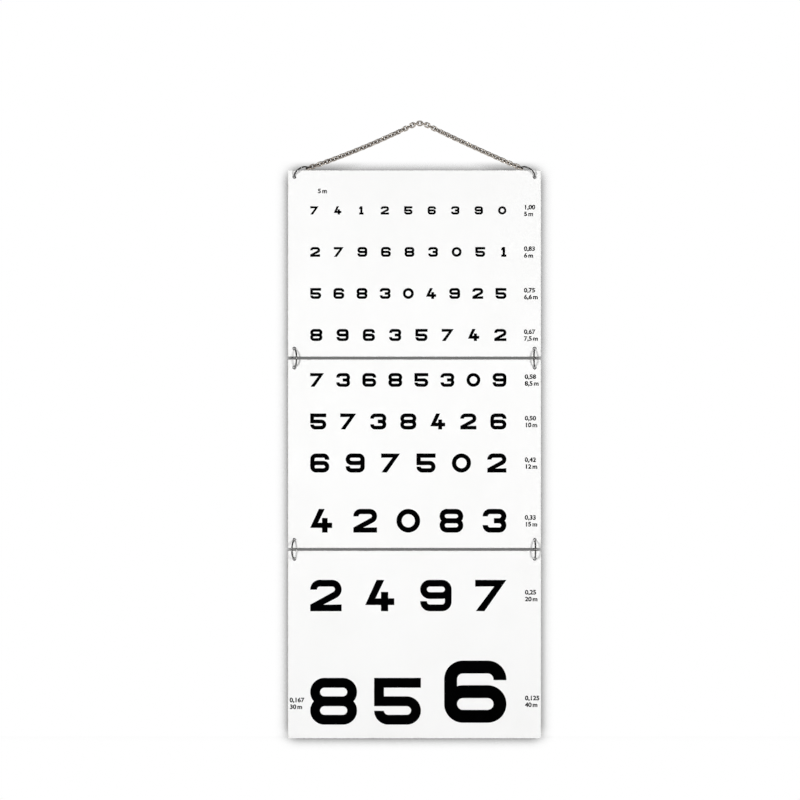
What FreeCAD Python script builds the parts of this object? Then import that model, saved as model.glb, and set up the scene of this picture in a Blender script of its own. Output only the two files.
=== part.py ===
import FreeCAD, Part
import math
import os

# Folding number chart: three stiff panels one below the other, joined by wire rings and hung on a chain.
# Millimetres. X is the reader's right, the printed faces look along -Y, and Z is up.
# The origin is the underside of the hang link, where it lies on its nail.

# Panels
panel_width = 239.0
top_panel_height = 176.0
middle_panel_height = 178.0
bottom_panel_height = 177.0
panel_thickness = 1.5
panel_corner_radius = 0.8
panel_edge_round = 0.25
fold_gap = 2.75

# Ring holes, from the panel's edges to the hole's centre
hole_diameter = 3.8
hole_side_inset = 6.0
corner_hole_drop = 6.3
fold_hole_inset = 7.6

# Fold rings. The fold line stands off the face that closes, so that the folded panels lie twice this apart.
fold_stand_off = 0.4
fold_ring_wire = 1.5
fold_ring_clearance = 0.6
# How far each loose ring hangs turned, in degrees about the vertical, its front towards the reader's right
upper_left_turn = 15.0
upper_right_turn = -6.0
lower_left_turn = -13.0
lower_right_turn = 3.0

# Corner rings, which the chain pulls up and inwards, with their fronts leaning up
corner_ring_wire = 1.5
corner_ring_clearance = 0.65
corner_ring_lift = 2.1
corner_ring_rise = 33.0
corner_ring_lean = 28.0

# Chain
link_wire = 1.5
link_length = 6.8
link_width = 5.4
link_play = 0.12
end_link_play = 0.3
left_leg_sag = 1.9
right_leg_sag = 0.6
hang_rise = 41.6
hang_offset = 5.0
shoulder_slope = 14.0
# How far the links are rolled about the chain, in degrees: at the rings, and along each leg
end_link_roll = 60.0
leg_roll = 45.0
roll_settles_over = 5

# Print. A figure is drawn on a square grid, and covers five minutes of arc at its test distance.
ink_thickness = 0.1
figure_units = 5.0
figure_arc_minutes = 5.0
left_margin = 21.3
right_margin = 33.0
large_figure_gap = 16.7
largest_figure_lift = 1.8
top_first_drop = 37.9
top_last_rise = 20.4
middle_first_drop = 19.3
middle_last_rise = 25.7
bottom_first_drop = 42.2
baseline_rise = 13.1

# Places that follow from the sizes above
panel_centre_x = -hang_offset
top_edge_z = -hang_rise
middle_edge_z = top_edge_z - top_panel_height - fold_gap
bottom_edge_z = middle_edge_z - middle_panel_height - fold_gap
upper_fold_z = middle_edge_z + fold_gap / 2
lower_fold_z = bottom_edge_z + fold_gap / 2
hole_reach = panel_width / 2 - hole_side_inset
front_y = -panel_thickness / 2
fold_line_y = panel_thickness / 2 + fold_stand_off

# A fold ring's wire lies near the inner rims of its holes, at the face furthest from the fold line
fold_hole_height = fold_gap / 2 + fold_hole_inset
fold_wire_height = fold_hole_height - (hole_diameter - fold_ring_wire) / 2 + fold_ring_clearance
fold_ring_radius = math.hypot(fold_wire_height, fold_line_y + panel_thickness / 2)

# A corner ring reaches from its hole over the panel's top edge to the first link of the chain
corner_ring_slip = (hole_diameter - corner_ring_wire) / 2 - corner_ring_clearance
corner_ring_reach = (corner_hole_drop + corner_ring_lift) / math.sin(math.radians(corner_ring_rise))
corner_ring_radius = (corner_ring_reach - corner_ring_slip) / 2

# The chain's links pull on each other with a little play
link_centreline = link_length - link_wire
link_pitch = link_centreline - link_wire - link_play


def point(x, y, z=0.0):
    return FreeCAD.Vector(x, y, z)


# Panels: a sheet with rounded corners and softened edges, drilled for its rings


def panel(top_z, height, hole_heights):
    left = panel_centre_x - panel_width / 2
    corner = point(left, front_y, top_z - height)
    sheet = Part.makeBox(panel_width, panel_thickness, height, corner)
    uprights = [edge for edge in sheet.Edges if is_square_to_sheet(edge)]
    sheet = sheet.makeFillet(panel_corner_radius, uprights)
    rims = [edge for edge in sheet.Edges if not is_square_to_sheet(edge)]
    sheet = sheet.makeFillet(panel_edge_round, rims)
    for side in (-1, 1):
        for hole_z in hole_heights:
            start = point(panel_centre_x + side * hole_reach, -panel_thickness, hole_z)
            sheet = sheet.cut(Part.makeCylinder(hole_diameter / 2, 2 * panel_thickness, start, point(0, 1)))
    return sheet


def is_square_to_sheet(edge):
    return abs(edge.BoundBox.YLength - panel_thickness) < panel_thickness / 100


# Wire rings


def wire_ring(centre, axis, radius, wire):
    return Part.makeTorus(radius, wire / 2, centre, axis)


def fold_ring(side, fold_z, line_y, turn):
    angle = math.radians(turn)
    centre = point(panel_centre_x + side * hole_reach, line_y, fold_z)
    return wire_ring(centre, point(math.cos(angle), math.sin(angle)), fold_ring_radius, fold_ring_wire)


def corner_ring_directions(side):
    rise = math.radians(corner_ring_rise)
    lean = math.radians(corner_ring_lean)
    along = point(-side * math.cos(rise), 0, math.sin(rise))
    upwards = point(side * math.sin(rise), 0, math.cos(rise))
    forwards = point(0, -math.cos(lean), 0) + upwards * math.sin(lean)
    return along, forwards


def corner_hole(side):
    return point(panel_centre_x + side * hole_reach, 0, top_edge_z - corner_hole_drop)


def corner_ring(side):
    along, forwards = corner_ring_directions(side)
    centre = corner_hole(side) + along * (corner_ring_slip + corner_ring_radius)
    return wire_ring(centre, along.cross(forwards), corner_ring_radius, corner_ring_wire)


def corner_ring_end(side):
    along, _ = corner_ring_directions(side)
    return corner_hole(side) + along * corner_ring_reach


# Chain: each link is a bent wire with two straight sides and two round bows


def chain_link():
    bow_radius = (link_width - link_wire) / 2
    straight = link_centreline / 2 - bow_radius
    wire_radius = link_wire / 2
    right_bow = Part.makeTorus(bow_radius, wire_radius, point(straight, 0), point(0, 0, 1), -180, 180, 180)
    right_bow.rotate(point(straight, 0), point(0, 0, 1), -90)
    left_bow = right_bow.copy()
    left_bow.rotate(point(0, 0), point(0, 0, 1), 180)
    pieces = [left_bow]
    for y in (-bow_radius, bow_radius):
        pieces.append(Part.makeCylinder(wire_radius, 2 * straight, point(-straight, y), point(1, 0)))
    return right_bow.fuse(pieces).removeSplitter().Solids[0]


def placed_link(link, start, end, roll):
    along = (end - start).normalize()
    across = point(0, 1).cross(along)
    turned = FreeCAD.Rotation(along, roll).multVec(across)
    placed = link.copy()
    rotation = FreeCAD.Rotation(along, turned, along.cross(turned), "XYZ")
    placed.Placement = FreeCAD.Placement((start + end) * 0.5, rotation)
    return placed


def sagging_joints(start, end, leg_sag):
    chord = end - start
    half_turn = 2 * math.atan(2 * leg_sag / chord.Length)
    radius = chord.Length / (2 * math.sin(half_turn))
    count = math.ceil(2 * half_turn * radius / link_pitch)
    along = chord.normalize()
    upwards = along.cross(point(0, 1))
    if upwards.z < 0:
        upwards = -upwards
    centre = (start + end) * 0.5 + upwards * (radius * math.cos(half_turn))
    joints = []
    for step in range(count + 1):
        angle = half_turn * (2 * step / count - 1)
        joints.append(centre + along * (radius * math.sin(angle)) - upwards * (radius * math.cos(angle)))
    return joints


def chain_joints(side, leg_sag):
    # Next to the hang link, one link lies less steep than the rest of its leg
    slope = math.radians(shoulder_slope)
    top = point(side * link_pitch / 2, 0, link_width / 2)
    shoulder = top + point(side * math.cos(slope), 0, -math.sin(slope)) * link_pitch
    ring_end = corner_ring_end(side)
    along = (shoulder - ring_end).normalize()
    start = ring_end - along * (corner_ring_wire / 2 + end_link_play - link_play / 2)
    return sagging_joints(start, shoulder, leg_sag) + [top]


def chain_leg(link, side, leg_sag):
    joints = chain_joints(side, leg_sag)
    last = len(joints) - 2
    # Every second link is a quarter turn on, and the last one stands square to the hang link
    top_roll = 90 * ((last + 1) % 2)
    links = []
    for step in range(last + 1):
        from_ring = min(1, max(0, step - 1) / roll_settles_over)
        from_top = min(1, (last - step) / roll_settles_over)
        settled = end_link_roll + from_ring * (leg_roll - end_link_roll)
        roll = top_roll + from_top * (settled - top_roll) + 90 * (step % 2)
        links.append(placed_link(link, joints[step], joints[step + 1], side * roll))
    return links


# Figures, drawn on a grid of five units with strokes one unit wide


def bar(left, low, right, high):
    return polygon([(left, low), (right, low), (right, high), (left, high)])


def polygon(corners):
    wire = Part.makePolygon([point(x, y) for x, y in corners + corners[:1]])
    return Part.Face(wire)


def disc(x, y, radius):
    return Part.Face(Part.Wire([Part.makeCircle(radius, point(x, y))]))


def arc_band(x, y, inner, outer, start, end):
    def on_circle(radius, degrees):
        angle = math.radians(degrees)
        return point(x + radius * math.cos(angle), y + radius * math.sin(angle))

    middle = (start + end) / 2
    outside = Part.Arc(on_circle(outer, start), on_circle(outer, middle), on_circle(outer, end)).toShape()
    inside = Part.Arc(on_circle(inner, end), on_circle(inner, middle), on_circle(inner, start)).toShape()
    first = Part.makeLine(on_circle(inner, start), on_circle(outer, start))
    last = Part.makeLine(on_circle(outer, end), on_circle(inner, end))
    return Part.Face(Part.Wire([first, outside, last, inside]))


def rounded_bar(left, low, right, high, radius):
    shape = bar(left + radius, low, right - radius, high)
    centres = [(x, y) for x in (left + radius, right - radius) for y in (low + radius, high - radius)]
    pieces = [disc(x, y, radius) for x, y in centres]
    if high - low > 2 * radius:
        pieces.append(bar(left, low + radius, right, high - radius))
    return shape.fuse(pieces).removeSplitter()


def rounded_frame(low, high):
    return rounded_bar(0, low, 5, high, 1.5).cut(rounded_bar(1, low + 1, 4, high - 1, 0.5))


def joined(*strokes):
    # The strokes are merged as prisms one unit deep, and the figure is the floor that they share
    prisms = [stroke.extrude(point(0, 0, 1)) for stroke in strokes]
    merged = prisms[0].fuse(prisms[1:]).removeSplitter()
    floors = [face for face in merged.Faces if face.CenterOfMass.z < 0.01]
    return floors[0]


def half_turned(shape):
    turned = shape.copy()
    turned.rotate(point(2.5, 2.5), point(0, 0, 1), 180)
    return turned


def figure_faces():
    eight = joined(rounded_frame(0, 3), rounded_frame(2, 5))
    six = joined(rounded_frame(0, 5).cut(bar(3.5, 1.5, 5, 3.46)), rounded_frame(0, 3))
    five_bowl = rounded_frame(0, 3).cut(bar(0, 1.44, 1.5, 3))
    slant = math.radians(-59)
    slant_outer = (3.5 + 1.5 * math.cos(slant), 3.5 + 1.5 * math.sin(slant))
    slant_inner = (3.5 + 0.5 * math.cos(slant), 3.5 + 0.5 * math.sin(slant))
    return {
        "0": disc(2.5, 2.5, 2.5).cut(disc(2.5, 2.5, 1.5)),
        "1": joined(
            bar(1.27, 0, 3.73, 0.9),
            bar(2, 0, 3, 5),
            polygon([(2, 5), (1.27, 4.2), (1.27, 3.6), (2, 3.6)]),
        ),
        "2": joined(
            bar(0, 0, 5, 1),
            polygon([(0, 1), (2.06, 1), slant_outer, slant_inner]),
            arc_band(3.5, 3.5, 0.5, 1.5, -59, 90),
            bar(1.5, 4, 3.5, 5),
            arc_band(1.5, 3.5, 0.5, 1.5, 90, 180),
        ),
        "3": eight.cut(bar(0, 1.5, 2.44, 3.5)),
        "4": polygon(
            [(0, 1), (2.56, 1), (2.56, 0), (3.63, 0), (3.63, 1), (4.62, 1), (4.62, 2), (3.63, 2)]
            + [(3.63, 3.04), (2.56, 3.04), (2.56, 2), (1.55, 2), (3, 5), (1.84, 5)]
        ),
        "5": joined(bar(0, 4, 5, 5), bar(0, 2, 1, 5), bar(0, 2, 1.5, 3), five_bowl),
        "6": six,
        "7": polygon([(0, 4), (3.09, 4), (0.1, 0), (1.42, 0), (4.97, 5), (0, 5)]),
        "8": eight,
        "9": half_turned(six),
    }


def figure_height(distance):
    distance_mm = distance * 1000
    return 2 * distance_mm * math.tan(math.radians(figure_arc_minutes / 60) / 2)


def printed(face, height, left, low):
    ink = face.scaled(height / figure_units).extrude(point(0, 0, ink_thickness))
    ink.rotate(point(0, 0), point(1, 0), 90)
    ink.translate(point(left, front_y, low))
    return ink


def figure_row(faces, figures, distance, centre_z):
    height = figure_height(distance)
    first = panel_centre_x - panel_width / 2 + left_margin
    last_width = faces[figures[-1]].BoundBox.XMax * height / figure_units
    last = panel_centre_x + panel_width / 2 - right_margin - last_width
    step = (last - first) / (len(figures) - 1)
    low = centre_z - height / 2
    return [printed(faces[name], height, first + step * place, low) for place, name in enumerate(figures)]


def printed_rows(faces):
    # Evenly spaced rows from the top of a panel down: name, figures and test distance in metres
    top_rows = [
        ("figures_5_m", "741256390", 5),
        ("figures_6_m", "279683051", 6),
        ("figures_6_7_m", "568304925", 20 / 3),
        ("figures_7_5_m", "89635742", 7.5),
    ]
    middle_rows = [
        ("figures_8_6_m", "73685309", 60 / 7),
        ("figures_10_m", "5738426", 10),
        ("figures_12_m", "697502", 12),
    ]
    row_pitch = (top_panel_height - top_first_drop - top_last_rise) / (len(top_rows) - 1)
    rows = {}
    top_row_z = top_edge_z - top_first_drop
    middle_row_z = middle_edge_z - middle_first_drop
    for panel_rows, first_z in ((top_rows, top_row_z), (middle_rows, middle_row_z)):
        for place, (name, figures, distance) in enumerate(panel_rows):
            rows[name] = figure_row(faces, figures, distance, first_z - place * row_pitch)
    last_row_z = middle_edge_z - middle_panel_height + middle_last_rise
    rows["figures_15_m"] = figure_row(faces, "42083", 15, last_row_z)
    rows["figures_20_m"] = figure_row(faces, "2497", 20, bottom_edge_z - bottom_first_drop)
    # The two largest sizes share the last line
    baseline = bottom_edge_z - bottom_panel_height + baseline_rise
    left = panel_centre_x - panel_width / 2 + left_margin
    right = panel_centre_x + panel_width / 2 - right_margin
    height = figure_height(30)
    second = left + height + large_figure_gap
    rows["figures_30_m"] = [
        printed(faces["8"], height, left, baseline),
        printed(faces["5"], height, second, baseline),
    ]
    largest = figure_height(40)
    lifted = baseline + largest_figure_lift
    rows["figures_40_m"] = [printed(faces["6"], largest, right - largest, lifted)]
    return rows


def assembly():
    link = chain_link()
    left_links = chain_leg(link, -1, left_leg_sag)
    right_links = chain_leg(link, 1, right_leg_sag)
    hang_start = point(-link_pitch / 2, 0, link_width / 2)
    hang_end = point(link_pitch / 2, 0, link_width / 2)
    top_holes = (top_edge_z - corner_hole_drop, upper_fold_z + fold_hole_height)
    middle_holes = (upper_fold_z - fold_hole_height, lower_fold_z + fold_hole_height)
    bottom_holes = (lower_fold_z - fold_hole_height,)
    nodes = {
        "top_panel": [panel(top_edge_z, top_panel_height, top_holes)],
        "middle_panel": [panel(middle_edge_z, middle_panel_height, middle_holes)],
        "bottom_panel": [panel(bottom_edge_z, bottom_panel_height, bottom_holes)],
        "upper_left_ring": [fold_ring(-1, upper_fold_z, fold_line_y, upper_left_turn)],
        "upper_right_ring": [fold_ring(1, upper_fold_z, fold_line_y, upper_right_turn)],
        "lower_left_ring": [fold_ring(-1, lower_fold_z, -fold_line_y, lower_left_turn)],
        "lower_right_ring": [fold_ring(1, lower_fold_z, -fold_line_y, lower_right_turn)],
        "left_corner_ring": [corner_ring(-1)],
        "right_corner_ring": [corner_ring(1)],
        "left_end_link": left_links[:1],
        "right_end_link": right_links[:1],
        "left_chain": left_links[1:],
        "right_chain": right_links[1:],
        "hang_link": [placed_link(link, hang_start, hang_end, 0)],
    }
    nodes.update(printed_rows(figure_faces()))
    return nodes


os.makedirs("parts", exist_ok=True)
for name, solids in assembly().items():
    shape = solids[0] if len(solids) == 1 else Part.makeCompound(solids)
    shape.exportStep("parts/" + name + ".step")
    print(name, len(solids), "solid(s)")
print("upper fold line", fold_line_y, upper_fold_z)
print("lower fold line", -fold_line_y, lower_fold_z)
print("first joints", chain_joints(-1, left_leg_sag)[1], chain_joints(1, right_leg_sag)[1])
print("corner ring end", corner_ring_end(-1), corner_ring_end(1), "corner hole", corner_hole(-1))
print("ring radii", fold_ring_radius, corner_ring_radius)
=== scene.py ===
import math

import bmesh
import bpy
import numpy as np
from mathutils import Matrix, Vector


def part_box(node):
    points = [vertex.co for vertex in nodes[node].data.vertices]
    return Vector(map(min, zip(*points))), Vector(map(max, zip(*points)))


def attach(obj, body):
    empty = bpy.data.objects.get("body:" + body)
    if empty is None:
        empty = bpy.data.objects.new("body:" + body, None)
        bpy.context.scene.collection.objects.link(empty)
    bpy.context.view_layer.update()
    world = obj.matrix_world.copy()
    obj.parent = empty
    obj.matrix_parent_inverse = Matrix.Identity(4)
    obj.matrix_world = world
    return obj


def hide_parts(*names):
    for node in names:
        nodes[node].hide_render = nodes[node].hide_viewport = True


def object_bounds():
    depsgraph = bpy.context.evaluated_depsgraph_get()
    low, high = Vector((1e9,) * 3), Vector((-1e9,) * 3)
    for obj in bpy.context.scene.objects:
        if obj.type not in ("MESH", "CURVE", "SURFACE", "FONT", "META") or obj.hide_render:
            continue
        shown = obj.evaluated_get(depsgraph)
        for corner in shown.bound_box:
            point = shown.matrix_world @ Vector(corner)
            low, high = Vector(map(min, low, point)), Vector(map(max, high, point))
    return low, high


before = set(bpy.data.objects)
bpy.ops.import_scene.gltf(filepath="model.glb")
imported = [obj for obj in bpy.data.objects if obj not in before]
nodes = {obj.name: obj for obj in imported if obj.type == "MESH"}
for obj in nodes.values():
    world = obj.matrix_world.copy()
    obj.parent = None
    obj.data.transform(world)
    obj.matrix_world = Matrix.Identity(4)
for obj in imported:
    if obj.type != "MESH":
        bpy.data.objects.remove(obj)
cadLow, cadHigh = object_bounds()
panels = ["top_panel", "middle_panel", "bottom_panel"]
panelLow, panelHigh = zip(*(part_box(name) for name in panels))
print("frame loaded:", len(nodes), "nodes")


# small helpers for node trees

def addNode(tree, kind, **settings):
    made = tree.nodes.new(kind)
    for name, value in settings.items():
        setattr(made, name, value)
    return made


def join(tree, source, target):
    tree.links.new(source, target)


def mathNode(tree, operation, first, second=None):
    made = addNode(tree, "ShaderNodeMath", operation=operation)
    for place, value in enumerate((first, second)):
        if value is None:
            continue
        if hasattr(value, "links"):
            join(tree, value, made.inputs[place])
        else:
            made.inputs[place].default_value = value
    return made.outputs[0]


def mapped(tree, value, low, high, toLow, toHigh):
    made = addNode(tree, "ShaderNodeMapRange")
    join(tree, value, made.inputs["Value"])
    for name, number in zip(("From Min", "From Max", "To Min", "To Max"), (low, high, toLow, toHigh)):
        made.inputs[name].default_value = number
    return made.outputs["Result"]


def noise(tree, place, size, detail=3.0, roughness=0.5):
    made = addNode(tree, "ShaderNodeTexNoise")
    made.inputs["Scale"].default_value = 1 / size  # size is the width of one patch in metres
    made.inputs["Detail"].default_value = detail
    made.inputs["Roughness"].default_value = roughness
    join(tree, place, made.inputs["Vector"])
    return made.outputs["Fac"]


def mixedColour(tree, factor, first, second):
    made = addNode(tree, "ShaderNodeMix", data_type="RGBA")
    join(tree, factor, made.inputs[0])
    for socket, colour in ((made.inputs[6], first), (made.inputs[7], second)):
        if hasattr(colour, "links"):
            join(tree, colour, socket)
        else:
            socket.default_value = (*colour, 1)
    return made.outputs[2]


def newFinish(name):
    material = bpy.data.materials.new(name)
    material.use_nodes = True
    tree = material.node_tree
    shader = tree.nodes["Principled BSDF"]
    place = addNode(tree, "ShaderNodeTexCoord").outputs["Object"]
    return material, tree, shader, place


def addBump(tree, shader, height, strength, distance):
    bump = addNode(tree, "ShaderNodeBump")
    bump.inputs["Strength"].default_value = strength
    bump.inputs["Distance"].default_value = distance
    join(tree, height, bump.inputs["Height"])
    join(tree, bump.outputs["Normal"], shader.inputs["Normal"])


# white sheet of the panels: faint cloudiness, fine peel in the gloss, handled edges

sheetLook = {
    "white": (0.93, 0.93, 0.926),
    "cloud": (0.915, 0.915, 0.908),
    "cloudSize": 0.07,
    "cloudRange": (0.35, 0.7),
    "handled": (0.80, 0.79, 0.765),
    "handledWidth": 0.0014,
    "handledGrain": 0.006,
    "handledRange": (0.4, 0.7),
    "roughness": (0.30, 0.42),
    "smearSize": 0.03,
    "smearRange": (0.3, 0.7),
    "peelSize": 0.0014,
    "peelDepth": 0.00002,
    "peelStrength": 0.25,
    "specular": 0.4,
}


def insideOf(tree, value, low, high):
    fromLow = mathNode(tree, "SUBTRACT", value, low)
    return mathNode(tree, "MINIMUM", fromLow, mathNode(tree, "SUBTRACT", high, value))


def edgeDistance(tree, place):
    # how far a point lies inside the outline of its own panel
    split = addNode(tree, "ShaderNodeSeparateXYZ")
    join(tree, place, split.inputs[0])
    sideways = insideOf(tree, split.outputs["X"], panelLow[0].x, panelHigh[0].x)
    spans = [insideOf(tree, split.outputs["Z"], low.z, high.z) for low, high in zip(panelLow, panelHigh)]
    upright = spans[0]
    for span in spans[1:]:
        upright = mathNode(tree, "MAXIMUM", upright, span)
    return mathNode(tree, "MINIMUM", sideways, upright)


def sheetFinish():
    look = sheetLook
    material, tree, shader, place = newFinish("sheetWhite")
    cloud = noise(tree, place, look["cloudSize"])
    base = mixedColour(tree, mapped(tree, cloud, *look["cloudRange"], 0, 1), look["white"], look["cloud"])
    grain = noise(tree, place, look["handledGrain"], detail=5)
    edge = mapped(tree, edgeDistance(tree, place), 0, look["handledWidth"], 1, 0)
    worn = mathNode(tree, "MULTIPLY", edge, mapped(tree, grain, *look["handledRange"], 0, 1))
    join(tree, mixedColour(tree, worn, base, look["handled"]), shader.inputs["Base Color"])
    smear = noise(tree, place, look["smearSize"], detail=6, roughness=0.6)
    join(tree, mapped(tree, smear, *look["smearRange"], *look["roughness"]), shader.inputs["Roughness"])
    shader.inputs["Specular IOR Level"].default_value = look["specular"]
    peel = noise(tree, place, look["peelSize"], detail=1)
    addBump(tree, shader, peel, look["peelStrength"], look["peelDepth"])
    return material


# black print: matt, a little uneven where it was pulled through the screen

inkLook = {
    "black": (0.0004, 0.0004, 0.0005),
    "thin": (0.0016, 0.0016, 0.0018),
    "unevenSize": 0.012,
    "unevenRange": (0.4, 0.7),
    "grainSize": 0.0005,
    "grainRange": (0.3, 0.7),
    "grainDepth": 0.00001,
    "grainStrength": 0.2,
    "roughness": (0.6, 0.8),
    "specular": 0.0,
}


def inkFinish():
    look = inkLook
    material, tree, shader, place = newFinish("printInk")
    uneven = noise(tree, place, look["unevenSize"], detail=5)
    grain = noise(tree, place, look["grainSize"], detail=2)
    blotch = mathNode(tree, "MULTIPLY", mapped(tree, uneven, *look["unevenRange"], 0, 1), grain)
    join(tree, mixedColour(tree, blotch, look["black"], look["thin"]), shader.inputs["Base Color"])
    join(tree, mapped(tree, grain, *look["grainRange"], *look["roughness"]), shader.inputs["Roughness"])
    shader.inputs["Specular IOR Level"].default_value = look["specular"]
    addBump(tree, shader, grain, look["grainStrength"], look["grainDepth"])
    return material


# nickel on wire: rings are cleaner and smoother, the chain is browner and duller

nickelMake = {
    "patchRange": (0.38, 0.66),
    "patchShare": 0.7,
    "roughRange": (0.1, 0.9),
    "scratchStrength": 0.15,
}
ringLook = {
    "bright": (0.13, 0.128, 0.125),
    "dull": (0.016, 0.0155, 0.015),
    "patchSize": 0.003,
    "scratchSize": 0.0003,
    "roughness": (0.12, 0.26),
    "scratchDepth": 0.00001,
}
chainLook = {
    "bright": (0.57, 0.525, 0.47),
    "dull": (0.20, 0.171, 0.15),
    "patchSize": 0.0022,
    "scratchSize": 0.00035,
    "roughness": (0.26, 0.52),
    "scratchDepth": 0.00001,
    "linkShade": 0.45,
    # painted light and shade along the chain: duller at the left end, brighter at the right end
    "tarnish": (0.25, -0.25),
}


def nickelFinish(name, look):
    material, tree, shader, place = newFinish(name)
    make = nickelMake
    patch = noise(tree, place, look["patchSize"], detail=4, roughness=0.6)
    dullness = mapped(tree, patch, *make["patchRange"], 0, 1)
    if "linkShade" in look:
        shade = addNode(tree, "ShaderNodeAttribute", attribute_name="linkShade").outputs["Fac"]
        shade = mathNode(tree, "MULTIPLY", shade, look["linkShade"])
        dullness = mathNode(tree, "ADD", mathNode(tree, "MULTIPLY", dullness, 1 - look["linkShade"]), shade)
        # painted light and shade: the chain is made duller at its left end and brighter at its right, where
        # more light falls
        split = addNode(tree, "ShaderNodeSeparateXYZ")
        join(tree, place, split.inputs[0])
        tarnish = mapped(tree, split.outputs["X"], panelLow[0].x, panelHigh[0].x, *look["tarnish"])
        dullness = mathNode(tree, "ADD", dullness, tarnish)
    join(tree, mixedColour(tree, dullness, look["bright"], look["dull"]), shader.inputs["Base Color"])
    scratch = noise(tree, place, look["scratchSize"], detail=3)
    fromPatch = mathNode(tree, "MULTIPLY", dullness, make["patchShare"])
    rough = mathNode(tree, "ADD", fromPatch, mathNode(tree, "MULTIPLY", scratch, 1 - make["patchShare"]))
    join(tree, mapped(tree, rough, *make["roughRange"], *look["roughness"]), shader.inputs["Roughness"])
    shader.inputs["Metallic"].default_value = 1.0
    addBump(tree, shader, scratch, make["scratchStrength"], look["scratchDepth"])
    return material


sheetWhite = sheetFinish()
printInk = inkFinish()
ringNickel = nickelFinish("ringNickel", ringLook)
chainNickel = nickelFinish("chainNickel", chainLook)
for name in panels:
    for place in nodes[name].material_slots:
        place.material = sheetWhite
print("finishes made")


# wire pieces: trees that sweep a round wire, run once for each piece

def newTree(name, sizes, withGeometry=False):
    tree = bpy.data.node_groups.new(name, "GeometryNodeTree")
    if withGeometry:
        tree.interface.new_socket("Geometry", in_out="INPUT", socket_type="NodeSocketGeometry")
    sockets = {}
    for label, kind in sizes:
        sockets[label] = tree.interface.new_socket(label, in_out="INPUT", socket_type=kind).identifier
    tree.interface.new_socket("Geometry", in_out="OUTPUT", socket_type="NodeSocketGeometry")
    given = addNode(tree, "NodeGroupInput")
    made = addNode(tree, "NodeGroupOutput")
    return tree, sockets, given.outputs, made.inputs["Geometry"]


def sweptWire(tree, path, wire, sides):
    profile = addNode(tree, "GeometryNodeCurvePrimitiveCircle")
    profile.inputs["Resolution"].default_value = sides
    join(tree, mathNode(tree, "DIVIDE", wire, 2.0), profile.inputs["Radius"])
    sweep = addNode(tree, "GeometryNodeCurveToMesh")
    sweep.inputs["Fill Caps"].default_value = True
    join(tree, path, sweep.inputs["Curve"])
    join(tree, profile.outputs[0], sweep.inputs["Profile Curve"])
    smooth = addNode(tree, "GeometryNodeSetShadeSmooth")
    join(tree, sweep.outputs[0], smooth.inputs["Geometry"])
    return smooth.outputs[0]


def finishTree(tree, geometry, material, output):
    realize = addNode(tree, "GeometryNodeRealizeInstances")
    join(tree, geometry, realize.inputs["Geometry"])
    paint = addNode(tree, "GeometryNodeSetMaterial")
    paint.inputs["Material"].default_value = material
    join(tree, realize.outputs[0], paint.inputs["Geometry"])
    join(tree, paint.outputs[0], output)


def pieceName(node):
    first, *others = node.split("_")
    return first + "".join(word.capitalize() for word in others)


def runTree(tree, sockets, name, sizes, source=None):
    piece = bpy.data.objects.new(name, source or bpy.data.meshes.new(name))
    bpy.context.scene.collection.objects.link(piece)
    modifier = piece.modifiers.new("nodes", "NODES")
    modifier.node_group = tree
    for label, value in sizes.items():
        modifier[sockets[label]] = value
    seen = bpy.context.evaluated_depsgraph_get()
    mesh = bpy.data.meshes.new_from_object(
        piece.evaluated_get(seen), preserve_all_data_layers=True, depsgraph=seen
    )
    piece.modifiers.remove(modifier)
    piece.data = mesh
    mesh.name = name
    return piece


def cadPoints(node):
    return np.array([v.co for v in nodes[node].data.vertices])


def spreadDirections(points):
    # three directions in which the points spread, widest first
    centre = (points.min(0) + points.max(0)) / 2
    spread, directions = np.linalg.eigh(np.cov((points - points.mean(0)).T))
    return Vector(centre), [Vector(directions[:, place]) for place in (2, 1, 0)]


# rings: a wire bent round until its ends almost meet, the joint turned away from the reader

ringMake = {"jointGap": 0.0003, "pathPoints": 96, "wireSides": 16}
ringBody = {
    "upper_left_ring": "upper_left_ring",
    "upper_right_ring": "upper_right_ring",
    "lower_left_ring": "lower_left_ring",
    "lower_right_ring": "lower_right_ring",
    "left_corner_ring": "corner_rings",
    "right_corner_ring": "corner_rings",
}


def ringTree():
    sizes = [
        ("Radius", "NodeSocketFloat"),
        ("Wire", "NodeSocketFloat"),
        ("Joint gap", "NodeSocketFloat"),
        ("Turn", "NodeSocketRotation"),
        ("Centre", "NodeSocketVector"),
    ]
    tree, sockets, given, output = newTree("bentRing", sizes)
    arc = addNode(tree, "GeometryNodeCurveArc", mode="RADIUS")
    arc.inputs["Resolution"].default_value = ringMake["pathPoints"]
    join(tree, given["Radius"], arc.inputs["Radius"])
    opening = mathNode(tree, "DIVIDE", given["Joint gap"], given["Radius"])
    join(tree, mathNode(tree, "DIVIDE", opening, 2.0), arc.inputs["Start Angle"])
    join(tree, mathNode(tree, "SUBTRACT", math.tau, opening), arc.inputs["Sweep Angle"])
    wire = sweptWire(tree, arc.outputs[0], given["Wire"], ringMake["wireSides"])
    move = addNode(tree, "GeometryNodeTransform")
    join(tree, wire, move.inputs["Geometry"])
    join(tree, given["Centre"], move.inputs["Translation"])
    join(tree, given["Turn"], move.inputs["Rotation"])
    finishTree(tree, move.outputs[0], ringNickel, output)
    return tree, sockets


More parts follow.
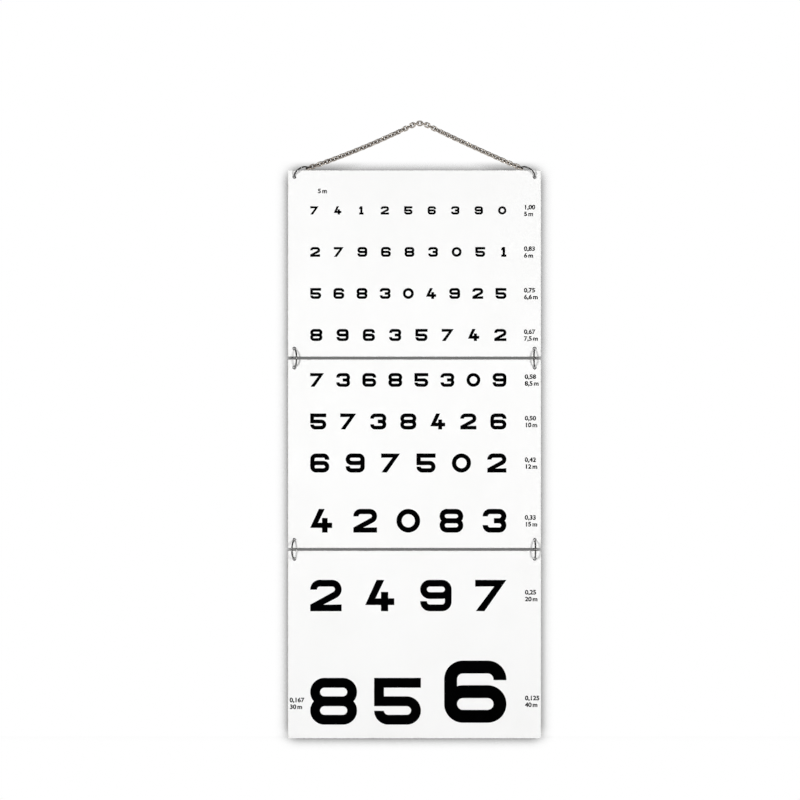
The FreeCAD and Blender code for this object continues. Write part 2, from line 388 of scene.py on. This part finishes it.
def makeRing(tree, sockets, node):
    points = cadPoints(node)
    centre, (_, _, axis) = spreadDirections(points)
    away = points - np.array(centre)
    reach = np.linalg.norm(away - np.outer(away @ np.array(axis), np.array(axis)), axis=1)
    radius, wire = (reach.max() + reach.min()) / 2, reach.max() - reach.min()
    back = Vector((0, 1, 0)) - axis * axis.y
    back.normalize()
    turn = Matrix((back, axis.cross(back), axis)).transposed().to_euler()
    sizes = {"Radius": radius, "Wire": wire, "Joint gap": ringMake["jointGap"], "Turn": turn, "Centre": centre}
    piece = runTree(tree, sockets, pieceName(node), sizes)
    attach(piece, ringBody[node])
    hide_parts(node)
    return radius, wire


bentRing, ringSockets = ringTree()
for node in ringBody:
    print(node, "radius and wire", ["%.5f" % size for size in makeRing(bentRing, ringSockets, node)])
print("rings made")


# chain: one bent link, set at the place and turn of every link of the frame

linkMake = {"seamGap": 0.00012, "bowPoints": 14, "wireSides": 12, "shadeSeed": 7, "weld": 1e-6}
chainBody = {
    "hang_link": "chain",
    "left_chain": "chain",
    "right_chain": "chain",
    "left_end_link": "corner_rings",
    "right_end_link": "corner_rings",
}


def linkPath(tree, given):
    # half a side, a bow, the other side, a bow and the last half side, with the seam between the halves
    bow = mathNode(tree, "DIVIDE", mathNode(tree, "SUBTRACT", given["Width"], given["Wire"]), 2.0)
    halfLength = mathNode(tree, "DIVIDE", mathNode(tree, "SUBTRACT", given["Length"], given["Wire"]), 2.0)
    straight = mathNode(tree, "SUBTRACT", halfLength, bow)
    seam = mathNode(tree, "DIVIDE", given["Seam gap"], 2.0)
    gather = addNode(tree, "GeometryNodeJoinGeometry")

    def side(fromX, toX, y):
        line = addNode(tree, "GeometryNodeCurvePrimitiveLine")
        for socket, x in ((line.inputs["Start"], fromX), (line.inputs["End"], toX)):
            corner = addNode(tree, "ShaderNodeCombineXYZ")
            join(tree, x, corner.inputs["X"])
            join(tree, y, corner.inputs["Y"])
            join(tree, corner.outputs[0], socket)
        join(tree, line.outputs[0], gather.inputs[0])

    def bend(start, x):
        arc = addNode(tree, "GeometryNodeCurveArc", mode="RADIUS")
        arc.inputs["Resolution"].default_value = linkMake["bowPoints"]
        arc.inputs["Start Angle"].default_value = start
        arc.inputs["Sweep Angle"].default_value = math.pi
        join(tree, bow, arc.inputs["Radius"])
        shift = addNode(tree, "ShaderNodeCombineXYZ")
        join(tree, x, shift.inputs["X"])
        move = addNode(tree, "GeometryNodeTransform")
        join(tree, arc.outputs[0], move.inputs["Geometry"])
        join(tree, shift.outputs[0], move.inputs["Translation"])
        join(tree, move.outputs[0], gather.inputs[0])

    back = mathNode(tree, "MULTIPLY", straight, -1.0)
    low = mathNode(tree, "MULTIPLY", bow, -1.0)
    side(seam, straight, bow)
    side(back, straight, low)
    side(mathNode(tree, "MULTIPLY", seam, -1.0), back, bow)
    bend(-math.pi / 2, straight)
    bend(math.pi / 2, back)
    edges = addNode(tree, "GeometryNodeCurveToMesh")
    join(tree, gather.outputs[0], edges.inputs["Curve"])
    weld = addNode(tree, "GeometryNodeMergeByDistance")
    weld.inputs["Distance"].default_value = linkMake["seamGap"] / 10
    join(tree, edges.outputs[0], weld.inputs["Geometry"])
    path = addNode(tree, "GeometryNodeMeshToCurve")
    join(tree, weld.outputs[0], path.inputs["Mesh"])
    return path.outputs[0]


def chainTree():
    sizes = [
        ("Length", "NodeSocketFloat"),
        ("Width", "NodeSocketFloat"),
        ("Wire", "NodeSocketFloat"),
        ("Seam gap", "NodeSocketFloat"),
        ("Seed", "NodeSocketInt"),
    ]
    tree, sockets, given, output = newTree("linkChain", sizes, withGeometry=True)
    link = sweptWire(tree, linkPath(tree, given), given["Wire"], linkMake["wireSides"])
    turn = addNode(tree, "GeometryNodeInputNamedAttribute", data_type="FLOAT_VECTOR")
    turn.inputs["Name"].default_value = "linkTurn"
    asRotation = addNode(tree, "FunctionNodeEulerToRotation")
    join(tree, turn.outputs["Attribute"], asRotation.inputs[0])
    points = addNode(tree, "GeometryNodeMeshToPoints")
    join(tree, given["Geometry"], points.inputs["Mesh"])
    place = addNode(tree, "GeometryNodeInstanceOnPoints")
    join(tree, points.outputs[0], place.inputs["Points"])
    join(tree, link, place.inputs["Instance"])
    join(tree, asRotation.outputs[0], place.inputs["Rotation"])
    shade = addNode(tree, "FunctionNodeRandomValue", data_type="FLOAT")
    join(tree, given["Seed"], shade.inputs["Seed"])
    keep = addNode(tree, "GeometryNodeStoreNamedAttribute", data_type="FLOAT", domain="INSTANCE")
    keep.inputs["Name"].default_value = "linkShade"
    join(tree, place.outputs[0], keep.inputs["Geometry"])
    join(tree, shade.outputs[1], keep.inputs["Value"])
    finishTree(tree, keep.outputs[0], chainNickel, output)
    return tree, sockets


def linkIslands(node):
    # the frame's links are loose triangles, so a copy is merged before it is taken apart
    copy = bmesh.new()
    copy.from_mesh(nodes[node].data)
    bmesh.ops.remove_doubles(copy, verts=copy.verts, dist=linkMake["weld"])
    left = set(copy.verts)
    islands = []
    while left:
        front = [left.pop()]
        island = []
        while front:
            corner = front.pop()
            island.append(corner.co.copy())
            for edge in corner.link_edges:
                other = edge.other_vert(corner)
                if other in left:
                    left.remove(other)
                    front.append(other)
        islands.append(np.array(island))
    copy.free()
    return sorted(islands, key=lambda island: island[:, 0].mean())


def linkSizes(points):
    centre, directions = spreadDirections(points)
    away = points - np.array(centre)
    return [float(np.ptp(away @ np.array(direction))) for direction in directions]


def makeLinks(tree, sockets, node):
    places, turns = [], []
    islands = linkIslands(node)
    for island in islands:
        _, (along, across, _) = spreadDirections(island)
        middle = Vector(island.mean(0))
        places.append(middle)
        turns.append(Matrix((along, across, along.cross(across))).transposed().to_euler())
    source = bpy.data.meshes.new(node)
    source.from_pydata(places, [], [])
    attribute = source.attributes.new("linkTurn", "FLOAT_VECTOR", "POINT")
    attribute.data.foreach_set("vector", [angle for turn in turns for angle in turn])
    length, width, wire = np.median([linkSizes(island) for island in islands], axis=0)
    sizes = {"Length": float(length), "Width": float(width), "Wire": float(wire)}
    sizes.update({"Seam gap": linkMake["seamGap"], "Seed": linkMake["shadeSeed"]})
    piece = runTree(tree, sockets, pieceName(node), sizes, source)
    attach(piece, chainBody[node])
    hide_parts(node)
    return len(islands), length, width, wire


linkChain, chainSockets = chainTree()
for node in chainBody:
    count, *sizes = makeLinks(linkChain, chainSockets, node)
    print(node, count, "link(s), length, width and wire", ["%.5f" % size for size in sizes])
print("chain made")


# print: the figures of the frame, spread a little beyond their outlines as ink does

figureMake = {"spread": 0.00028, "depthAxis": 1}
outlineMake = {"weld": 1e-5, "sameWall": 0.999, "wallTilt": 0.5, "sharpest": 0.4}
rowsOf = {name: [row for row in nodes if row.startswith("figures_")
                 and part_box(row)[0].z > panelLow[place].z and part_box(row)[1].z < panelHigh[place].z]
          for place, name in enumerate(panels)}


def outlineSides(corner, depthAxis):
    # the side walls that meet in a corner, each direction once
    sides = []
    for face in corner.link_faces:
        isWall = abs(face.normal[depthAxis]) < outlineMake["wallTilt"]
        if isWall and all(face.normal.dot(other) < outlineMake["sameWall"] for other in sides):
            sides.append(face.normal.copy())
    return sides


def embolden(mesh, amount, depthAxis):
    # every outline corner moves outwards in the plane of the print
    inked = bmesh.new()
    inked.from_mesh(mesh)
    bmesh.ops.remove_doubles(inked, verts=inked.verts, dist=outlineMake["weld"])
    bmesh.ops.recalc_face_normals(inked, faces=inked.faces)
    moves = []
    for corner in inked.verts:
        sides = outlineSides(corner, depthAxis)
        if sides:
            outwards = sum(sides, Vector()) / len(sides)
            reach = amount / max(outwards.length_squared, outlineMake["sharpest"])
            moves.append((corner, outwards * reach))
    for corner, move in moves:
        corner.co += move
    for face in inked.faces:
        face.smooth = False
    inked.to_mesh(mesh)
    inked.free()


def makeFigures(panel, row):
    mesh = bpy.data.meshes.new(pieceName(row))
    copy = bmesh.new()
    copy.from_mesh(nodes[row].data)
    copy.to_mesh(mesh)
    copy.free()
    embolden(mesh, figureMake["spread"], figureMake["depthAxis"])
    mesh.materials.append(printInk)
    piece = bpy.data.objects.new(pieceName(row), mesh)
    bpy.context.scene.collection.objects.link(piece)
    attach(piece, panel)
    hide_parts(row)


for panel in panels:
    for row in rowsOf[panel]:
        makeFigures(panel, row)
print("figures made")


# side labels: decimal value over test distance, printed in the same ink

labelMake = {
    "size": 0.0057,
    "widen": 1.08,
    "wordSpace": 0.55,
    "weight": 0.038,
    "depthAxis": 2,
    "linePitch": 0.0064,
    "depth": 0.00005,
    "halfHeight": 0.36,
    "weld": 1e-7,
    "rightInset": {"top_panel": 0.0161, "middle_panel": 0.0153, "bottom_panel": 0.0151},
    "leftInset": 0.0016,
    "leftDrop": 0.0019,
    "headingInset": 0.0281,
    "headingDrop": 0.0215,
}
rightLabels = {
    "figures_5_m": ("1,00", "5 m"),
    "figures_6_m": ("0,83", "6 m"),
    "figures_6_7_m": ("0,75", "6,6 m"),
    "figures_7_5_m": ("0,67", "7,5 m"),
    "figures_8_6_m": ("0,58", "8,5 m"),
    "figures_10_m": ("0,50", "10 m"),
    "figures_12_m": ("0,42", "12 m"),
    "figures_15_m": ("0,33", "15 m"),
    "figures_20_m": ("0,25", "20 m"),
    "figures_30_m": ("0,125", "40 m"),
}
leftLabels = {"figures_30_m": ("0,167", "30 m")}
headings = {"top_panel": "5 m"}


def printedText(words, x, z):
    curve = bpy.data.curves.new("label", "FONT")
    curve.body = words
    curve.space_word = labelMake["wordSpace"]
    # letters are filled at full size and brought down to size as a mesh, because tiny outlines fill badly
    curve.extrude = labelMake["depth"] / labelMake["size"] / 2
    holder = bpy.data.objects.new("label", curve)
    bpy.context.scene.collection.objects.link(holder)
    seen = bpy.context.evaluated_depsgraph_get()
    mesh = bpy.data.meshes.new_from_object(holder.evaluated_get(seen), depsgraph=seen)
    bpy.data.objects.remove(holder)
    embolden(mesh, labelMake["weight"], labelMake["depthAxis"])
    face = panelLow[0].y - labelMake["depth"] / 2
    size = labelMake["size"]
    shrink = Matrix.Diagonal((size * labelMake["widen"], size, size, 1))
    mesh.transform(Matrix.Translation((x, face, z)) @ Matrix.Rotation(math.pi / 2, 4, "X") @ shrink)
    return mesh


def joinMeshes(name, meshes):
    gathered = bmesh.new()
    for mesh in meshes:
        gathered.from_mesh(mesh)
    bmesh.ops.remove_doubles(gathered, verts=gathered.verts, dist=labelMake["weld"])
    made = bpy.data.meshes.new(name)
    gathered.to_mesh(made)
    gathered.free()
    made.materials.append(printInk)
    piece = bpy.data.objects.new(name, made)
    bpy.context.scene.collection.objects.link(piece)
    return piece


def labelPair(words, x, middle):
    low = middle - labelMake["size"] * labelMake["halfHeight"]
    return [
        printedText(words[0], x, low + labelMake["linePitch"] / 2),
        printedText(words[1], x, low - labelMake["linePitch"] / 2),
    ]


for place, panel in enumerate(panels):
    meshes = []
    right = panelHigh[place].x - labelMake["rightInset"][panel]
    left = panelLow[place].x
    for row in rowsOf[panel]:
        middle = sum(corner.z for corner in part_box(row)) / 2
        if row in rightLabels:
            meshes += labelPair(rightLabels[row], right, middle)
        if row in leftLabels:
            meshes += labelPair(leftLabels[row], left + labelMake["leftInset"], middle - labelMake["leftDrop"])
    if panel in headings:
        top = panelHigh[place].z - labelMake["headingDrop"]
        meshes.append(printedText(headings[panel], left + labelMake["headingInset"], top))
    piece = joinMeshes(panel.split("_")[0] + "Labels", meshes)
    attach(piece, panel)
print("labels made")


# stage: white backdrops all round, a clear layer behind the chart that holds its shade, and a pale floor

stageMake = {
    "layerBehind": 0.0004,
    "layerSize": 1.5,
    "backdropAway": {"back": 1.5, "right": 4.0, "front": 4.5, "left": 4.0},
    "backdropSize": 12.0,
    "shadeReach": 0.017,
    "shadeSamples": 16,
    "shadeTop": 0.011,
    "shadeTopFrom": 0.6,
    "underReach": 0.014,
    "underDepth": 0.046,
    "underBlend": 0.004,
    "shadeSteps": (
        (0.40, 0.06), (0.62, 0.19), (0.73, 0.46), (0.80, 0.615), (0.865, 0.815), (0.914, 0.947), (0.97, 1.0),
    ),
    "floorDrop": 0.35,
    "floorSize": 24.0,
    "floorColour": (0.86, 0.86, 0.86),
    "floorRoughness": 0.8,
    "floorPatch": 0.5,
    "floorRange": (0.3, 0.7),
    "floorTone": (0.98, 1.0),
    "floorGlow": 0.75,
}


def stagePlane(name, corners, material):
    mesh = bpy.data.meshes.new(name)
    mesh.from_pydata(corners, [], [(0, 1, 2, 3)])
    mesh.materials.append(material)
    plane = bpy.data.objects.new(name, mesh)
    bpy.context.scene.collection.objects.link(plane)
    return plane


def oneSided(tree, shader):
    # seen from behind, a stage plane lets the view through
    behind = addNode(tree, "ShaderNodeNewGeometry").outputs["Backfacing"]
    clear = addNode(tree, "ShaderNodeBsdfTransparent")
    choose = addNode(tree, "ShaderNodeMixShader")
    join(tree, behind, choose.inputs[0])
    join(tree, shader, choose.inputs[1])
    join(tree, clear.outputs[0], choose.inputs[2])
    join(tree, choose.outputs[0], tree.nodes["Material Output"].inputs["Surface"])


def seenRays(tree):
    # rays of the camera, and those that metal or glass sends on
    paths = addNode(tree, "ShaderNodeLightPath").outputs
    seen = mathNode(tree, "MAXIMUM", paths["Is Camera Ray"], paths["Is Glossy Ray"])
    return mathNode(tree, "MAXIMUM", seen, paths["Is Transmission Ray"])


def backdropFinish():
    material, tree, shader, place = newFinish("backdropWhite")
    tree.nodes.remove(shader)
    oneSided(tree, addNode(tree, "ShaderNodeEmission").outputs[0])
    return material


def layerFinish():
    material, tree, shader, place = newFinish("shadeLayer")
    tree.nodes.remove(shader)
    closeness = addNode(tree, "ShaderNodeAmbientOcclusion", samples=stageMake["shadeSamples"])
    closeness.inputs["Distance"].default_value = stageMake["shadeReach"]
    # the shade fades out above the panels, where only the thin chain hangs
    split = addNode(tree, "ShaderNodeSeparateXYZ")
    join(tree, place, split.inputs[0])
    height = split.outputs["Z"]
    edge = panelHigh[0].z
    fade = mapped(tree, height, edge, edge + stageMake["shadeTop"], stageMake["shadeTopFrom"], 1)
    light = mathNode(tree, "MAXIMUM", closeness.outputs["AO"], fade)
    # and it is deeper under the lowest edge, away from the lamps
    edge = panelLow[-1].z
    under = mapped(tree, height, edge - stageMake["underReach"], edge, 0, stageMake["underDepth"])
    below = mapped(tree, height, edge, edge + stageMake["underBlend"], 1, 0)
    light = mathNode(tree, "SUBTRACT", light, mathNode(tree, "MULTIPLY", under, below))
    ramp = addNode(tree, "ShaderNodeValToRGB")
    steps = ramp.color_ramp.elements
    while len(steps) < len(stageMake["shadeSteps"]):
        steps.new(0.5)
    for step, (position, grey) in zip(steps, stageMake["shadeSteps"]):
        step.position = position
        step.color = (grey, grey, grey, 1)
    join(tree, light, ramp.inputs[0])
    shaded = addNode(tree, "ShaderNodeBsdfTransparent")
    join(tree, ramp.outputs["Color"], shaded.inputs["Color"])
    oneSided(tree, shaded.outputs[0])
    return material


def uprightPlane(name, away, turn, size, material):
    # stands away from the chart, turned about the vertical, and faces it; only the camera sees it
    facing = Matrix.Rotation(turn, 4, "Z")
    half = size / 2
    ends = ((-half, -half), (half, -half), (half, half), (-half, half))
    plane = stagePlane(name, [facing @ Vector((x, away, z)) for x, z in ends], material)
    for kind in ("diffuse", "glossy", "transmission", "volume_scatter", "shadow"):
        setattr(plane, "visible_" + kind, False)


def floorFinish():
    material, tree, shader, place = newFinish("floorPale")
    shader.inputs["Roughness"].default_value = stageMake["floorRoughness"]
    patch = noise(tree, place, stageMake["floorPatch"])
    patch = mapped(tree, patch, *stageMake["floorRange"], *stageMake["floorTone"])
    tint = mixedColour(tree, patch, (0, 0, 0), stageMake["floorColour"])
    join(tree, tint, shader.inputs["Base Color"])
    # the floor is seen pale far from the lamps too, and part of its shade stays
    glow = addNode(tree, "ShaderNodeEmission")
    join(tree, tint, glow.inputs["Color"])
    seen = seenRays(tree)
    pale = addNode(tree, "ShaderNodeMixShader")
    join(tree, mathNode(tree, "MULTIPLY", seen, stageMake["floorGlow"]), pale.inputs[0])
    join(tree, shader.outputs[0], pale.inputs[1])
    join(tree, glow.outputs[0], pale.inputs[2])
    oneSided(tree, pale.outputs[0])
    return material


uprightPlane("shadeLayer", cadHigh.y + stageMake["layerBehind"], 0, stageMake["layerSize"], layerFinish())
backdropWhite = backdropFinish()
for quarter, (side, away) in enumerate(stageMake["backdropAway"].items()):
    uprightPlane(side + "Backdrop", away, -quarter * math.pi / 2, stageMake["backdropSize"], backdropWhite)
floorZ = cadLow.z - stageMake["floorDrop"]
half = stageMake["floorSize"] / 2
corners = [(-half, -half, floorZ), (half, -half, floorZ), (half, half, floorZ), (-half, half, floorZ)]
stagePlane("floor", corners, floorFinish())
print("stage made")


# light: two upright strips in front, a soft lamp behind, and a studio with bright sides and a dark ceiling

lightMake = {
    "stripSize": (0.08, 0.6),
    "stripPlace": (0.8, -1.5, -0.13),
    "leftPower": 15.3,
    "rightPower": 13.85,
    "backSize": 1.6,
    "backPlace": (0, 1.8, -0.1),
    "backPower": 18.0,
    "studioSide": 1.0,
    "studioTop": 0.015,
    "studioBand": (0.12, 0.32),
    "studioFill": 0.06,
}


def areaLamp(name, place, target, size, power):
    lamp = bpy.data.lights.new(name, "AREA")
    lamp.energy = power
    lamp.shape = "RECTANGLE"
    lamp.size, lamp.size_y = size
    holder = bpy.data.objects.new(name, lamp)
    holder.location = place
    holder.rotation_euler = (Vector(target) - Vector(place)).to_track_quat("-Z", "Y").to_euler()
    bpy.context.scene.collection.objects.link(holder)


target = ((cadLow.x + cadHigh.x) / 2, 0, lightMake["stripPlace"][2])
x, y, z = lightMake["stripPlace"]
areaLamp("leftStrip", (target[0] - x, y, z), target, lightMake["stripSize"], lightMake["leftPower"])
areaLamp("rightStrip", (target[0] + x, y, z), target, lightMake["stripSize"], lightMake["rightPower"])
areaLamp("backLamp", lightMake["backPlace"], target, (lightMake["backSize"],) * 2, lightMake["backPower"])


def studioWorld():
    world = bpy.data.worlds.new("studio")
    world.use_nodes = True
    tree = world.node_tree
    surface = tree.nodes["Background"]
    split = addNode(tree, "ShaderNodeSeparateXYZ")
    join(tree, addNode(tree, "ShaderNodeTexCoord").outputs["Generated"], split.inputs[0])
    height = mathNode(tree, "ABSOLUTE", split.outputs["Z"])
    tone = mapped(tree, height, *lightMake["studioBand"], lightMake["studioSide"], lightMake["studioTop"])
    seen = seenRays(tree)
    join(tree, tone, surface.inputs["Color"])
    join(tree, mapped(tree, seen, 0, 1, lightMake["studioFill"], 1.0), surface.inputs["Strength"])
    bpy.context.scene.world = world


studioWorld()
print("light made")


# camera: square on to the print, from far enough away that the sheet looks flat

cameraMake = {"distance": 3.0, "frameWidth": 0.7557, "centre": (-0.0187, -0.2586), "sensor": 36.0}
lens = bpy.data.cameras.new("frontView")
lens.sensor_width = cameraMake["sensor"]
lens.lens = lens.sensor_width * cameraMake["distance"] / cameraMake["frameWidth"]
camera = bpy.data.objects.new("frontView", lens)
camera.location = (cameraMake["centre"][0], panelLow[0].y - cameraMake["distance"], cameraMake["centre"][1])
camera.rotation_euler = (math.pi / 2, 0, 0)
bpy.context.scene.collection.objects.link(camera)
bpy.context.scene.camera = camera
bpy.context.scene.view_settings.view_transform = "Standard"
